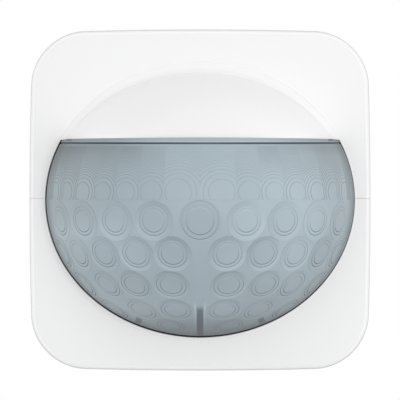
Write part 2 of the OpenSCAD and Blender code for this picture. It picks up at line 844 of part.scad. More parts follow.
upper_cover();
lower_cover();
lens_dome();
lens_seal();
sensor_base();
sensor_board();
board_screws();
detector_holder();
pir_cans();
pir_windows();
light_sensor();
status_led();
light_baffle();
lens_posts();
control_panel();
lux_trimmer();
lux_knob();
delay_trimmer();
delay_knob();
mode_switch();
mode_slider();
sensor_plug();
controller_chip();
support_ring();
insert_housing();
insert_lid();
lid_screws();
power_board();
relay();
film_capacitor();
bulk_capacitor();
varistor();
insert_socket();
terminal_block();
terminal_clamps();
terminal_screws();
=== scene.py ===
import math

import bmesh
import bpy
from mathutils import Matrix, Vector


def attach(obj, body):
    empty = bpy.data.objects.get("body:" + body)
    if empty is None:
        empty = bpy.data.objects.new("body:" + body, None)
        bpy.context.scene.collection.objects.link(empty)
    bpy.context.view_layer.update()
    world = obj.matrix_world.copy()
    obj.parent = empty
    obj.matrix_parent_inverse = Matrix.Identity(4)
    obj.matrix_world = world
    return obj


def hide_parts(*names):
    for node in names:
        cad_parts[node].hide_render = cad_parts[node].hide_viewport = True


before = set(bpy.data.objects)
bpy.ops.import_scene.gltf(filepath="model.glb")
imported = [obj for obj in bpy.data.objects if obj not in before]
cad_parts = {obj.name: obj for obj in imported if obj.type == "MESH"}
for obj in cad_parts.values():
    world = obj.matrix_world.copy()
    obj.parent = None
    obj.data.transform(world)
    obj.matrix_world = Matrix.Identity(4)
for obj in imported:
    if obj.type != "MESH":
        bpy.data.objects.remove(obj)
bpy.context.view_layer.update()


# Support ring: the sheet steel frame that the wall box screws pull against the wall.
# It is punched and zinc plated, so it is dull silver with faint streaks from rolling.
def new_node(tree, kind, inputs=None, **settings):
    made = tree.nodes.new(kind)
    for name, value in settings.items():
        setattr(made, name, value)
    for name, value in (inputs or {}).items():
        made.inputs[name].default_value = value
    return made


def skin_group(name, inputs):
    group = bpy.data.node_groups.new(name, "ShaderNodeTree")
    for socket, kind in inputs.items():
        group.interface.new_socket(socket, in_out="INPUT", socket_type=kind)
    for socket, kind in (("Colour", "NodeSocketColor"), ("Roughness", "NodeSocketFloat"),
                         ("Height", "NodeSocketFloat")):
        group.interface.new_socket(socket, in_out="OUTPUT", socket_type=kind)
    return group, new_node(group, "NodeGroupInput"), new_node(group, "NodeGroupOutput")


plated_skin, plated_in, plated_out = skin_group(
    "plated_skin", {"Metal": "NodeSocketColor", "Streaks": "NodeSocketFloat",
                    "Roughness": "NodeSocketFloat"})
place = new_node(plated_skin, "ShaderNodeTexCoord")
rolled = new_node(plated_skin, "ShaderNodeMapping", {"Scale": (1.0, 1.0, 0.05)})
streak = new_node(plated_skin, "ShaderNodeTexNoise", {"Detail": 4.0, "Roughness": 0.6})
cloud = new_node(plated_skin, "ShaderNodeTexNoise", {"Scale": 160.0, "Detail": 3.0})
shade = new_node(plated_skin, "ShaderNodeMapRange",
                 {"From Min": 0.3, "From Max": 0.7, "To Min": 0.8, "To Max": 1.04})
tone = new_node(plated_skin, "ShaderNodeVectorMath", operation="SCALE")
dull = new_node(plated_skin, "ShaderNodeMapRange",
                {"From Min": 0.3, "From Max": 0.7, "To Min": -0.07, "To Max": 0.09})
rough = new_node(plated_skin, "ShaderNodeMath", operation="ADD")
link = plated_skin.links.new
link(place.outputs["Object"], rolled.inputs["Vector"])
link(rolled.outputs["Vector"], streak.inputs["Vector"])
link(plated_in.outputs["Streaks"], streak.inputs["Scale"])
link(place.outputs["Object"], cloud.inputs["Vector"])
link(streak.outputs["Fac"], shade.inputs["Value"])
link(plated_in.outputs["Metal"], tone.inputs[0])
link(shade.outputs["Result"], tone.inputs["Scale"])
link(cloud.outputs["Fac"], dull.inputs["Value"])
link(dull.outputs["Result"], rough.inputs[0])
link(plated_in.outputs["Roughness"], rough.inputs[1])
link(tone.outputs["Vector"], plated_out.inputs["Colour"])
link(rough.outputs["Value"], plated_out.inputs["Roughness"])
link(streak.outputs["Fac"], plated_out.inputs["Height"])


def skinned(name, group, values, relief, metallic=0.0):
    material = bpy.data.materials.new(name)
    material.use_nodes = True
    tree = material.node_tree
    surface = tree.nodes["Principled BSDF"]
    surface.inputs["Metallic"].default_value = metallic
    skin = new_node(tree, "ShaderNodeGroup", node_tree=group)
    for socket, value in values.items():
        skin.inputs[socket].default_value = value
    bump = new_node(tree, "ShaderNodeBump", {"Strength": 1.0, "Distance": relief})
    tree.links.new(skin.outputs["Colour"], surface.inputs["Base Color"])
    tree.links.new(skin.outputs["Roughness"], surface.inputs["Roughness"])
    tree.links.new(skin.outputs["Height"], bump.inputs["Height"])
    tree.links.new(bump.outputs["Normal"], surface.inputs["Normal"])
    return material


def plated(name, metal, streaks, roughness, relief):
    values = {"Metal": (*metal, 1.0), "Streaks": streaks, "Roughness": roughness}
    return skinned(name, plated_skin, values, relief, metallic=1.0)


def dress(material, *names):
    for name in names:
        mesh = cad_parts[name].data
        mesh.materials.clear()
        mesh.materials.append(material)


ring_steel = plated("ring_steel", (0.62, 0.62, 0.6), 900.0, 0.36, 0.000006)
dress(ring_steel, "support_ring")


# Insert housing: the box that goes into the wall box, moulded in dark grey plastic.
# Its skin has the fine spark texture of the mould.
moulded_skin, moulded_in, moulded_out = skin_group(
    "moulded_skin", {"Plastic": "NodeSocketColor", "Mottle": "NodeSocketFloat",
                     "Grain": "NodeSocketFloat", "Roughness": "NodeSocketFloat"})
place = new_node(moulded_skin, "ShaderNodeTexCoord")
cloud = new_node(moulded_skin, "ShaderNodeTexNoise", {"Scale": 55.0, "Detail": 2.0})
grain = new_node(moulded_skin, "ShaderNodeTexNoise", {"Detail": 3.0, "Roughness": 0.6})
centre = new_node(moulded_skin, "ShaderNodeMath", {1: 0.5}, operation="SUBTRACT")
swing = new_node(moulded_skin, "ShaderNodeMath", {2: 1.0}, operation="MULTIPLY_ADD")
tone = new_node(moulded_skin, "ShaderNodeVectorMath", operation="SCALE")
gloss = new_node(moulded_skin, "ShaderNodeMapRange",
                 {"From Min": 0.25, "From Max": 0.75, "To Min": -0.05, "To Max": 0.05})
rough = new_node(moulded_skin, "ShaderNodeMath", operation="ADD")
link = moulded_skin.links.new
link(place.outputs["Object"], cloud.inputs["Vector"])
link(place.outputs["Object"], grain.inputs["Vector"])
link(moulded_in.outputs["Grain"], grain.inputs["Scale"])
link(cloud.outputs["Fac"], centre.inputs[0])
link(centre.outputs["Value"], swing.inputs[0])
link(moulded_in.outputs["Mottle"], swing.inputs[1])
link(moulded_in.outputs["Plastic"], tone.inputs[0])
link(swing.outputs["Value"], tone.inputs["Scale"])
link(grain.outputs["Fac"], gloss.inputs["Value"])
link(gloss.outputs["Result"], rough.inputs[0])
link(moulded_in.outputs["Roughness"], rough.inputs[1])
link(tone.outputs["Vector"], moulded_out.inputs["Colour"])
link(rough.outputs["Value"], moulded_out.inputs["Roughness"])
link(grain.outputs["Fac"], moulded_out.inputs["Height"])


def moulded(name, plastic, roughness, mottle=0.06, grain_size=2500.0, relief=0.00001):
    values = {"Plastic": (*plastic, 1.0), "Mottle": mottle, "Grain": grain_size, "Roughness": roughness}
    return skinned(name, moulded_skin, values, relief)


insert_grey = moulded("insert_grey", (0.05, 0.053, 0.057), 0.5, 0.2, 1800.0, 0.00003)
dress(insert_grey, "insert_housing")


# Insert lid: the lighter grey moulded cover of the insert with the socket and tongue openings.
# Four screws hold it, and its stakes are melted into the holes of the ring.
lid_grey = moulded("lid_grey", (0.27, 0.28, 0.29), 0.5, 0.12, 1800.0, 0.00002)
dress(lid_grey, "insert_lid")
screw_steel = plated("screw_steel", (0.6, 0.6, 0.58), 1500.0, 0.3, 0.000004)
dress(screw_steel, "lid_screws", "terminal_screws", "board_screws")


# Power parts: circuit board, relay, capacitors and varistor that stand inside the insert.
# They are bought parts in moulded, potted, sleeved and dipped cases.
def circuit_board(name, resist, track):
    material = bpy.data.materials.new(name)
    material.use_nodes = True
    tree = material.node_tree
    surface = tree.nodes["Principled BSDF"]
    surface.inputs["Roughness"].default_value = 0.32
    spot = new_node(tree, "ShaderNodeTexCoord")
    lay = new_node(tree, "ShaderNodeMapping", {"Rotation": (math.pi / 2, 0.0, 0.0)})
    weave = new_node(tree, "ShaderNodeTexBrick",
                     {"Scale": 150.0, "Mortar Size": 0.018, "Mortar Smooth": 0.3,
                      "Color1": (*resist, 1.0), "Color2": (*resist, 1.0), "Mortar": (*track, 1.0)},
                     offset=0.37, squash=1.6)
    cloudy = new_node(tree, "ShaderNodeTexNoise", {"Scale": 300.0, "Detail": 3.0})
    mix = new_node(tree, "ShaderNodeMix", {"Factor": 0.12}, data_type="RGBA", blend_type="OVERLAY")
    bump = new_node(tree, "ShaderNodeBump", {"Distance": 0.00003})
    tree.links.new(spot.outputs["Object"], lay.inputs["Vector"])
    tree.links.new(lay.outputs["Vector"], weave.inputs["Vector"])
    tree.links.new(spot.outputs["Object"], cloudy.inputs["Vector"])
    tree.links.new(weave.outputs["Color"], mix.inputs[6])
    tree.links.new(cloudy.outputs["Color"], mix.inputs[7])
    tree.links.new(mix.outputs[2], surface.inputs["Base Color"])
    tree.links.new(weave.outputs["Fac"], bump.inputs["Height"])
    tree.links.new(bump.outputs["Normal"], surface.inputs["Normal"])
    return material


board_green = circuit_board("board_green", (0.012, 0.085, 0.035), (0.04, 0.2, 0.08))
dress(board_green, "power_board", "sensor_board")
dress(moulded("relay_case", (0.02, 0.07, 0.25), 0.3, 0.1), "relay")
dress(moulded("film_case", (0.5, 0.3, 0.02), 0.35, 0.1), "film_capacitor")
dress(moulded("bulk_sleeve", (0.008, 0.01, 0.03), 0.25, 0.2), "bulk_capacitor")
dress(moulded("varistor_coat", (0.02, 0.09, 0.21), 0.4, 0.25, 900.0, 0.00006), "varistor")


# Terminals: grey block at the back of the insert with brass clamps and plated screws.
# The socket beside them takes the pins of the sensor head.
black_plastic = moulded("black_plastic", (0.012, 0.012, 0.013), 0.42, 0.2, 2200.0, 0.00002)
dress(black_plastic, "insert_socket", "sensor_plug", "controller_chip", "mode_switch")
dress(moulded("terminal_grey", (0.38, 0.39, 0.38), 0.5, 0.1), "terminal_block")
dress(plated("clamp_brass", (0.72, 0.5, 0.2), 700.0, 0.3, 0.000005), "terminal_clamps")


# Sensor base: the moulded tray that plugs onto the insert and carries the whole head.
# Board, detectors and their holder sit on it behind the lens.
base_grey = moulded("base_grey", (0.58, 0.58, 0.57), 0.5, 0.06, 1800.0, 0.00002)
dress(base_grey, "sensor_base")
dress(black_plastic, "detector_holder", "light_baffle", "lens_posts")
dress(plated("can_metal", (0.68, 0.66, 0.62), 1200.0, 0.22, 0.000003), "pir_cans")
dress(moulded("window_dark", (0.02, 0.018, 0.022), 0.15, 0.3), "pir_windows")
dress(moulded("light_cell", (0.55, 0.36, 0.14), 0.2, 0.3, 700.0), "light_sensor")
dress(moulded("led_red", (0.38, 0.01, 0.01), 0.12, 0.2), "status_led")


# Setting controls: a panel under the hood with two trimmers and a slide switch.
# The knobs are turned with a screwdriver and the slider is pushed with a fingernail.
# Fine printed ticks and dots on the panel show how far they go.
panel_grey = moulded("panel_grey", (0.68, 0.68, 0.67), 0.5, 0.05, 1800.0, 0.00002)
dress(panel_grey, "control_panel")
dress(moulded("trimmer_blue", (0.015, 0.045, 0.23), 0.4, 0.1), "lux_trimmer", "delay_trimmer")
knob_white = moulded("knob_white", (0.8, 0.8, 0.77), 0.35, 0.04)
dress(knob_white, "lux_knob", "delay_knob")
dress(moulded("slider_dark", (0.03, 0.032, 0.035), 0.4, 0.15), "mode_slider")
trim_x = 0.0126
control_z = 0.0201
panel_front = -0.0126
mark_r = 0.00415
mark_count = 7
mark_first = -135
mark_step = 45
mark_size = (0.00026, 0.00006, 0.0007, 1.0)
dot_size = (0.0005, 0.00006, 0.0005, 1.0)
dot_rise = 0.0027
slide_step = 0.0025


def piece(bm, name, material, smooth_angle):
    mesh = bpy.data.meshes.new(name)
    bm.to_mesh(mesh)
    bm.free()
    mesh.shade_smooth()
    mesh.set_sharp_from_angle(angle=math.radians(smooth_angle))
    mesh.materials.append(material)
    made = bpy.data.objects.new(name, mesh)
    bpy.context.scene.collection.objects.link(made)
    return made


marks = bmesh.new()
for side in (-1, 1):
    for k in range(mark_count):
        turn = math.radians(mark_first + mark_step * k)
        spot = (side * trim_x + mark_r * math.sin(turn), panel_front,
                control_z + mark_r * math.cos(turn))
        lay = Matrix.Translation(spot) @ Matrix.Rotation(turn, 4, "Y")
        bmesh.ops.create_cube(marks, size=1.0, matrix=lay @ Matrix.Diagonal(mark_size))
for k in (-1, 0, 1):
    spot = (k * slide_step, panel_front, control_z + dot_rise)
    lay = Matrix.Translation(spot)
    bmesh.ops.create_cube(marks, size=1.0, matrix=lay @ Matrix.Diagonal(dot_size))
mark_ink = moulded("mark_ink", (0.06, 0.062, 0.066), 0.6, 0.3)
panel_marks = piece(marks, "panel_marks", mark_ink, smooth_angle=30)
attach(panel_marks, "sensor_head")


# Lens: a half dome of milky grey-blue polyethylene with a flat roof and a flange, moulded in one piece.
# The lenslets are shallow dishes with ring steps, and strips with arc steps fill the row under the hood.
# The flange holds it behind the cover, and its foot has a little play in the opening.
lens_a = 0.0365
lens_b = 0.0324
plate_front = -0.011
roof_z = 0.0143
roof_t = 0.0015
groove_z = 0.01355
groove_h = 0.00036
groove_deep = 0.00035
groove_ease = 0.0001
lens_wall = 0.0016
roof_start = 0.0105
roof_slope = 0.0125
roof_level = 0.016
lens_draw = 0.007
lens_play = 0.0001
foot_start = -0.018
foot_deep = 0.007
flange_back = -0.0076
flange_front = -0.0088
flange_a = 0.0378
flange_b = 0.0337
most_corners = 8
dome_rows = 72
inner_rows = 48
lens_columns = 128
weld = 1e-6
fine_weld = 1e-7


def merge_in(whole, part):
    carrier = bpy.data.meshes.new("carrier")
    part.to_mesh(carrier)
    part.free()
    whole.from_mesh(carrier)
    bpy.data.meshes.remove(carrier)


def chain(bm, points, closed):
    corners = [bm.verts.new(p) for p in points]
    ends = corners[1:] + corners[:1] if closed else corners[1:]
    return corners, [bm.edges.new(pair) for pair in zip(corners, ends)]


def dome_line(a, b, low_z, high_z, steps):
    low = math.asin(max(-1.0, low_z / b))
    high = math.asin(min(1.0, high_z / b))
    turns = [low + (high - low) * i / steps for i in range(steps + 1)]
    return [(a * math.cos(t), plate_front, b * math.sin(t)) for t in turns]


def half_turn(bm, geom, steps):
    bmesh.ops.spin(bm, geom=geom, cent=(0, plate_front, 0), axis=(0, 0, 1), angle=-math.pi, steps=steps,
                   use_merge=False, use_duplicate=False)


lens = bmesh.new()
shell = bmesh.new()
outer = dome_line(lens_a, lens_b, -lens_b, groove_z - groove_h / 2 - groove_ease, dome_rows)
inner = dome_line(lens_a - lens_wall, lens_b - lens_wall, lens_wall - lens_b, roof_z - roof_t, inner_rows)
top_r = outer[-1][0]
bead = [(-groove_deep, -groove_h / 2), (-groove_deep, groove_h / 2),
        (-0.00018, groove_h / 2 + 0.00005), (-0.00034, groove_h / 2 + 0.0003),
        (-0.00046, roof_z - groove_z - 0.0001), (-0.00054, roof_z - groove_z)]
roof = [(top_r + out, plate_front, groove_z + up) for out, up in bead]
roof += [(0, plate_front, roof_z), (0, plate_front, roof_z - roof_t)]
corners, rim = chain(shell, outer + roof + inner[::-1], True)
section = shell.faces.new(corners)
half_turn(shell, [section] + rim + corners, lens_columns)
bmesh.ops.remove_doubles(shell, verts=shell.verts, dist=weld)
ends = [f for f in shell.faces if len(f.verts) > most_corners]
skirt = bmesh.ops.extrude_face_region(shell, geom=ends)["geom"]
bmesh.ops.delete(shell, geom=ends, context="FACES_ONLY")
bmesh.ops.translate(shell, verts=[g for g in skirt if isinstance(g, bmesh.types.BMVert)],
                    vec=(0, flange_back - plate_front, 0))
bmesh.ops.recalc_face_normals(shell, faces=shell.faces)
merge_in(lens, shell)

flange = bmesh.new()
for a, b in ((flange_a, flange_b), (lens_a - lens_wall, lens_b - lens_wall)):
    circle = bmesh.ops.create_circle(flange, segments=lens_columns, radius=1, cap_ends=False)["verts"]
    for v in circle:
        v.co = (v.co.x * a, flange_back, v.co.y * b)
bmesh.ops.bridge_loops(flange, edges=flange.edges[:])
bmesh.ops.bisect_plane(flange, geom=flange.verts[:] + flange.edges[:] + flange.faces[:],
                       plane_co=(0, 0, roof_z), plane_no=(0, 0, 1), clear_outer=True)
raised = bmesh.ops.extrude_face_region(flange, geom=flange.faces[:])["geom"]
bmesh.ops.translate(flange, verts=[g for g in raised if isinstance(g, bmesh.types.BMVert)],
                    vec=(0, flange_front - flange_back, 0))
bmesh.ops.recalc_face_normals(flange, faces=flange.faces)
merge_in(lens, flange)


def on_lens(z, azimuth, across, along, out):
    t0 = math.asin(z / lens_b)
    t = t0 + along / math.hypot(lens_a * math.sin(t0), lens_b * math.cos(t0))
    turn = azimuth + across / (lens_a * math.cos(t))
    lift = math.hypot(math.cos(t) / lens_a, math.sin(t) / lens_b)
    r = lens_a * math.cos(t) + out * math.cos(t) / lens_a / lift
    height = lens_b * math.sin(t) + out * math.sin(t) / lens_b / lift
    return (r * math.sin(turn), plate_front - r * math.cos(turn), height)


def part_way(value, start, span):
    return min(1.0, max(0.0, (value - start) / span))


dish_rim = 0.00002
dish_sink = 0.0003
dish_skirt = 0.0002
dish_drop = 0.00005
dish_middle = 0.7
step_half = 0.00014
step_share = 0.4
step_steep = 0.43
step_ease = 0.06
# Painted light and shade on the dishes: how strongly each annulus swings, how it leans and fades to the
# sides, and where the painted shade at the strip tops begins
annulus_swing = (0.15, 0.45, 1.0)
shade_lean = 1.4
shade_fall = 1.4
shade_least = 0.3
crest_start = 0.007
crest_span = 0.0055
dish_columns = 64


def dish_steps(radii, fade):
    steps = [(0.0, dish_middle * dish_drop, 0.0, 0.0)]
    for k, radius in enumerate(radii[:-1]):
        keep = 1 - fade * k / len(radii)
        inner, outer = annulus_swing[k:k + 2] if fade == 0 else (0.0, 0.0)
        wide = min(step_half, step_share * (radii[k + 1] - radius))
        slim = step_steep * wide
        steps += [(radius - wide, (1 - step_ease) * dish_drop * keep, 0.0, inner),
                  (radius - slim, dish_drop * keep, keep, inner),
                  (radius + slim, 0.0, keep, outer),
                  (radius + wide, step_ease * dish_drop * keep, 0.0, outer)]
    rim_swing = annulus_swing[-1] if fade == 0 else 0.0
    return steps + [(radii[-1], dish_drop * (1 - fade), 0.0, rim_swing),
                    (radii[-1] + dish_skirt, -dish_sink, 0.0, 0.0), (0.0, -dish_sink, 0.0, 0.0)]


def lenslet(radii, z, azimuth, tint, relief, line_tone, crest_shade=0.0, cuts=(), fade=0.0):
    bm = bmesh.new()
    tone = bm.verts.layers.float.new("tone")
    swing = bm.verts.layers.float.new("swing")
    profile = dish_steps(radii, fade)
    corners, rim = chain(bm, [(rho, 0.0, dish_rim + out) for rho, out, painted_line, turn in profile], False)
    for corner, (rho, out, painted_line, turn) in zip(corners, profile):
        corner[tone] = painted_line
        corner[swing] = turn
    bmesh.ops.spin(bm, geom=corners + rim, cent=(0, 0, 0), axis=(0, 0, 1), angle=2 * math.pi,
                   steps=dish_columns, use_merge=True, use_duplicate=False)
    bmesh.ops.remove_doubles(bm, verts=bm.verts, dist=fine_weld)
    # Painted light and shade on each dish: the annuli go lighter towards the lower outer side and darker
    # opposite, and the ring lines go darker there and lighter opposite; the tint is the dish's own tone
    shadow = Vector((shade_lean * math.sin(azimuth), -1.0)).normalized()
    near = relief * max(shade_least, math.cos(shade_fall * azimuth))
    for v in bm.verts:
        lean = v.co.xy.normalized().dot(shadow)
        v[tone] = tint + v[swing] * lean * near - v[tone] * (line_tone[0] + line_tone[1] * lean)
    for spot, side in cuts:
        bmesh.ops.bisect_plane(bm, geom=bm.verts[:] + bm.edges[:] + bm.faces[:], plane_co=spot,
                               plane_no=side, clear_outer=True)
        bmesh.ops.holes_fill(bm, edges=[e for e in bm.edges if e.is_boundary], sides=0)
    bmesh.ops.recalc_face_normals(bm, faces=bm.faces)
    for v in bm.verts:
        v.co = on_lens(z, azimuth, v.co.x, v.co.y, v.co.z)
        # Painted shade darkens the top of the strips under the hood
        v[tone] -= crest_shade * part_way(v.co.z, crest_start, crest_span)
    bm.verts.layers.float.remove(swing)
    return bm


# Lenslet rows: height, turns, ring radii, and the strength of the painted light and shade on the annuli
lenslet_rows = (
    (-0.0049, (0.0,), (0.0032, 0.0043, 0.0049), 0.08),
    (-0.0049, (17.5, 33.5, 49.4, 65.5), (0.0026, 0.0034, 0.0047), 0.13),
    (-0.0126, (11.0, 26.3, 42.0, 57.8, 73.2), (0.0026, 0.0034, 0.0045), 0.2),
    (-0.01985, (13.5, 32.0, 49.0, 70.0), (0.0026, 0.0035, 0.0043), 0.18),
    (-0.0258, (15.0, 38.5, 66.0), (0.0026, 0.0035, 0.0043), 0.14),
    (-0.02965, (28.5,), (0.0024, 0.0032, 0.0039), 0.14),
)
tint_spread = 0.03
tint_turn = 700
middle_tint = -0.07
# Painted dark ring lines: stronger low down and towards the sides, and leaning more to the lower outer
# side low down
line_dark = 0.1
line_low = 9
line_aside = 0.5
line_lean = 0.27
lean_low = 7
for z, azimuths, radii, relief in lenslet_rows:
    for azimuth in azimuths:
        for side in ((1,) if azimuth == 0 else (1, -1)):
            turn = side * math.radians(azimuth)
            tint = tint_spread * math.sin(tint_turn * z + side * azimuth) if azimuth else middle_tint
            lines = (line_dark - line_low * z + line_aside * (1 - math.cos(turn)),
                     line_lean - lean_low * z)
            merge_in(lens, lenslet(radii, z, turn, tint, relief, lines))

strip_z = 0.0018
strip_low = 0.0001
strip_high = 0.0132
strip_count = 8
strip_first = 13.3
strip_pitch = 9.6
centre_first = 8.0
centre_pitch = 10.2
strip_edges = [0.0] + [strip_first + strip_pitch * k for k in range(strip_count)]
strip_centres = [centre_first + centre_pitch * k for k in range(strip_count)]
strip_rings = (0.0031, 0.00265, 0.0024, 0.0024, 0.0024, 0.0024, 0.0024, 0.0024)
strip_steps = 25
strip_fade = 0.9
# Painted dark arc lines on the strips, stronger towards the sides, and painted shade at their tops under
# the hood, heavier on the left
strip_line = 0.12
strip_line_gain = 0.03
strip_tints = (0.0, -0.025, 0.0, -0.02, 0.01, -0.02, 0.01, -0.02)
strip_crest_shades = {1: (0.0, 0.0, 0.12, 0.02, 0.0, 0.02, 0.04, 0.04),
                -1: (0.02, 0.06, 0.18, 0.1, 0.11, 0.15, 0.22, 0.22)}
for k, centre_turn in enumerate(strip_centres):
    left = math.radians(strip_edges[k] - centre_turn) * lens_a
    right = math.radians(strip_edges[k + 1] - centre_turn) * lens_a
    radii = [strip_rings[k] * math.sqrt(n) for n in range(1, strip_steps + 1)]
    lines = (strip_line + strip_line_gain * k, 0.0)
    for side in (1, -1):
        low, high = sorted((side * left, side * right))
        cuts = (((low, 0, 0), (-1, 0, 0)), ((high, 0, 0), (1, 0, 0)),
                ((0, strip_low - strip_z, 0), (0, -1, 0)), ((0, strip_high - strip_z, 0), (0, 1, 0)))
        turn = side * math.radians(centre_turn)
        merge_in(lens, lenslet(radii, strip_z, turn, strip_tints[k], 0.0, lines,
                               strip_crest_shades[side][k], cuts, strip_fade))
for v in lens.verts:
    reach = max(0.0, plate_front - v.co.y)
    rise = part_way(v.co.z, roof_start, groove_z - roof_start)
    fade = part_way(v.co.z, groove_z, roof_z - groove_z)
    v.co.z -= reach * (roof_slope * rise - roof_level * fade)
    if v.co.y < flange_front:
        foot = part_way(v.co.y, foot_start, foot_deep)
        v.co.x += lens_play * foot
        v.co.z *= 1 - lens_draw * foot

post_at = (0.0145, -0.0285)
post_turn = 0.35
lens_grey = moulded("lens_grey", (0.403, 0.482, 0.526), 0.42, 0.1, 2500.0, 0.000006)
tree = lens_grey.node_tree
spot = new_node(tree, "ShaderNodeSeparateXYZ")
tree.links.new(new_node(tree, "ShaderNodeTexCoord").outputs["Object"], spot.inputs["Vector"])


def sums(kind, first, second):
    made = new_node(tree, "ShaderNodeMath", operation=kind)
    for slot, value in enumerate((first, second)):
        if isinstance(value, (int, float)):
            made.inputs[slot].default_value = value
        else:
            tree.links.new(value, made.inputs[slot])
    return made.outputs["Value"]


def ramp(value, span, tones):
    limits = {"From Min": span[0], "From Max": span[1], "To Min": tones[0], "To Max": tones[1]}
    made = new_node(tree, "ShaderNodeMapRange", limits, interpolation_type="SMOOTHSTEP")
    tree.links.new(value, made.inputs["Value"])
    return made.outputs["Result"]


def product(*values):
    total = values[0]
    for value in values[1:]:
        total = sums("MULTIPLY", total, value)
    return total


across = spot.outputs["X"]
depth = spot.outputs["Y"]
height = spot.outputs["Z"]
aside = sums("ABSOLUTE", across, 0.0)
# Painted shade by place on the lens: darker towards the rim, low down, at the sides and under the hood,
# with painted light a little brighter on the right
painted_rim_shade = ramp(depth, (-0.0240, -0.0145), (1.0, 0.43))
painted_low_shade = product(ramp(height, (-0.0322, -0.0245), (0.46, 1.0)),
                    ramp(height, (-0.022, 0.0), (0.86, 1.0)))
painted_left_shade = product(ramp(across, (-0.034, -0.004), (0.24, 0.0)),
                   ramp(height, (-0.009, -0.002), (0.15, 1.0)))
painted_low_right_shade = product(ramp(height, (-0.026, -0.016), (1.0, 0.0)),
                        ramp(across, (0.003, 0.018), (0.0, 0.19)))
painted_right_shade = sums("ADD", ramp(across, (0.020, 0.034), (0.0, 0.2)), painted_low_right_shade)
painted_corner_shade = product(ramp(across, (-0.035, -0.027), (0.12, 0.0)),
                     ramp(height, (0.003, 0.011), (0.0, 1.0)))
painted_side_shades = sums("ADD", sums("ADD", painted_left_shade, painted_right_shade), painted_corner_shade)
painted_side_shading = sums("SUBTRACT", ramp(across, (0.002, 0.016), (1.0, 1.05)), painted_side_shades)
# Painted shadow of the hood darkens the top of the lens, more towards the sides
painted_hood_shadow = sums("ADD", ramp(height, (0.0015, 0.0125), (0.0, 0.15)),
                ramp(height, (0.0095, 0.0128), (0.0, 0.18)))
painted_hood_shade = sums("SUBTRACT", 1.0, product(painted_hood_shadow, ramp(aside, (0.007, 0.030), (0.15, 1.0))))
# The bar and the two posts behind the lens show through it as painted dark marks, and a painted highlight
# runs beside the bar
bar = product(ramp(aside, (0.00062, 0.00088), (0.55, 0.0)),
              ramp(height, (-0.0260, -0.0244), (1.0, 0.0)))
painted_bar_highlight = product(ramp(aside, (0.00085, 0.001), (0.0, 0.15)), ramp(aside, (0.0012, 0.0016), (1.0, 0.0)),
                ramp(height, (-0.0300, -0.0270), (0.3, 1.0)),
                ramp(height, (-0.0244, -0.0236), (1.0, 0.0)))
post_x = sums("SUBTRACT", aside, post_at[0])
post_z = sums("SUBTRACT", height, post_at[1])
post_u = sums("ADD", sums("MULTIPLY", post_x, math.cos(post_turn)),
              sums("MULTIPLY", post_z, math.sin(post_turn)))
post_v = sums("SUBTRACT", sums("MULTIPLY", post_z, math.cos(post_turn)),
              sums("MULTIPLY", post_x, math.sin(post_turn)))
post = product(ramp(sums("ABSOLUTE", post_u, 0.0), (0.0006, 0.0009), (0.5, 0.0)),
               ramp(sums("ABSOLUTE", post_v, 0.0), (0.0006, 0.0009), (1.0, 0.0)))
# Along the groove under the roof run a painted dark line of shade, a painted glint and two painted dark
# notches of shade
level = sums("ADD", height, sums("MULTIPLY", sums("SUBTRACT", plate_front, depth), roof_slope))
painted_line = product(ramp(level, (0.01328, 0.0134), (0.0, 0.75)),
               ramp(level, (0.01372, 0.0138), (1.0, 0.0)))
painted_glint = product(ramp(level, (0.01378, 0.01386), (0.0, 0.3)),
                ramp(level, (0.01398, 0.0141), (1.0, 0.0)))
painted_notch_shade = product(ramp(aside, (0.0300, 0.0304), (0.0, 0.7)), ramp(aside, (0.0313, 0.0317), (1.0, 0.0)),
                ramp(level, (0.01405, 0.0141), (0.0, 1.0)))
# The tone attribute carries each dish's own tint and its painted light and shade; all the painted light
# and shade together scale the lens colour
tone = new_node(tree, "ShaderNodeAttribute", attribute_name="tone").outputs["Fac"]
shade = sums("SUBTRACT", sums("ADD", sums("ADD", sums("ADD", 1.0, tone), painted_bar_highlight), painted_glint),
             sums("ADD", sums("ADD", bar, post), sums("ADD", painted_line, painted_notch_shade)))
tint = new_node(tree, "ShaderNodeVectorMath", operation="SCALE")
surface = tree.nodes["Principled BSDF"]
tree.links.new(surface.inputs["Base Color"].links[0].from_socket, tint.inputs[0])
tree.links.new(product(shade, painted_rim_shade, painted_low_shade, painted_side_shading, painted_hood_shade), tint.inputs["Scale"])
tree.links.new(tint.outputs["Vector"], surface.inputs["Base Color"])
surface.inputs["Specular IOR Level"].default_value = 0.2
lens_piece = piece(lens, "lens", lens_grey, smooth_angle=35)
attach(lens_piece, "sensor_head")
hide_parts("lens_dome")
dress(moulded("seal_rubber", (0.012, 0.012, 0.013), 0.7, 0.2, 1500.0, 0.00003), "lens_seal")


# Lower cover: the half of the white plate around the lens that stays on the base.
# It is moulded in bright white plastic with a soft front edge and a small round at the lens opening.
# Painted shade darkens a band round its edge, and painted highlights draw fine bright lines on its edge,
# lip and collar.
plate_half = 0.0405
side_bow = 0.00084
bow = side_bow / plate_half ** 3
corner_r = 0.0125
cover_wall = 0.0018
cover_inside = -0.0092
cover_back = -0.0004
edge_r = 0.0011
lip_r = 0.00015
round_rows = 6
land = 0.0002
foot_break = 0.0002
dome_a = 0.0368
dome_b = 0.0327
opening_gap = -0.0001
hood_z = 0.0147
hood_lap = 0.0008
seam_z = 0.0004
seam_half = 0.00002
seam_tilt = 0.02
seam_soft = 0.00007
plate_columns = 384


def plate_edge(turn, inset, y):
    half = plate_half - inset
    r = corner_r - inset
    c = abs(math.cos(turn))
    s = abs(math.sin(turn))
    reach = half / max(c, s)
    if min(c, s) * reach > half - r:
        along = (half - r) * (c + s)
        reach = along + math.sqrt(along * along - 2 * (half - r) ** 2 + r * r)
    x = reach * math.cos(turn)
    z = reach * math.sin(turn)
    return (x * (1 - bow * z * z), y, z * (1 - bow * x * x))


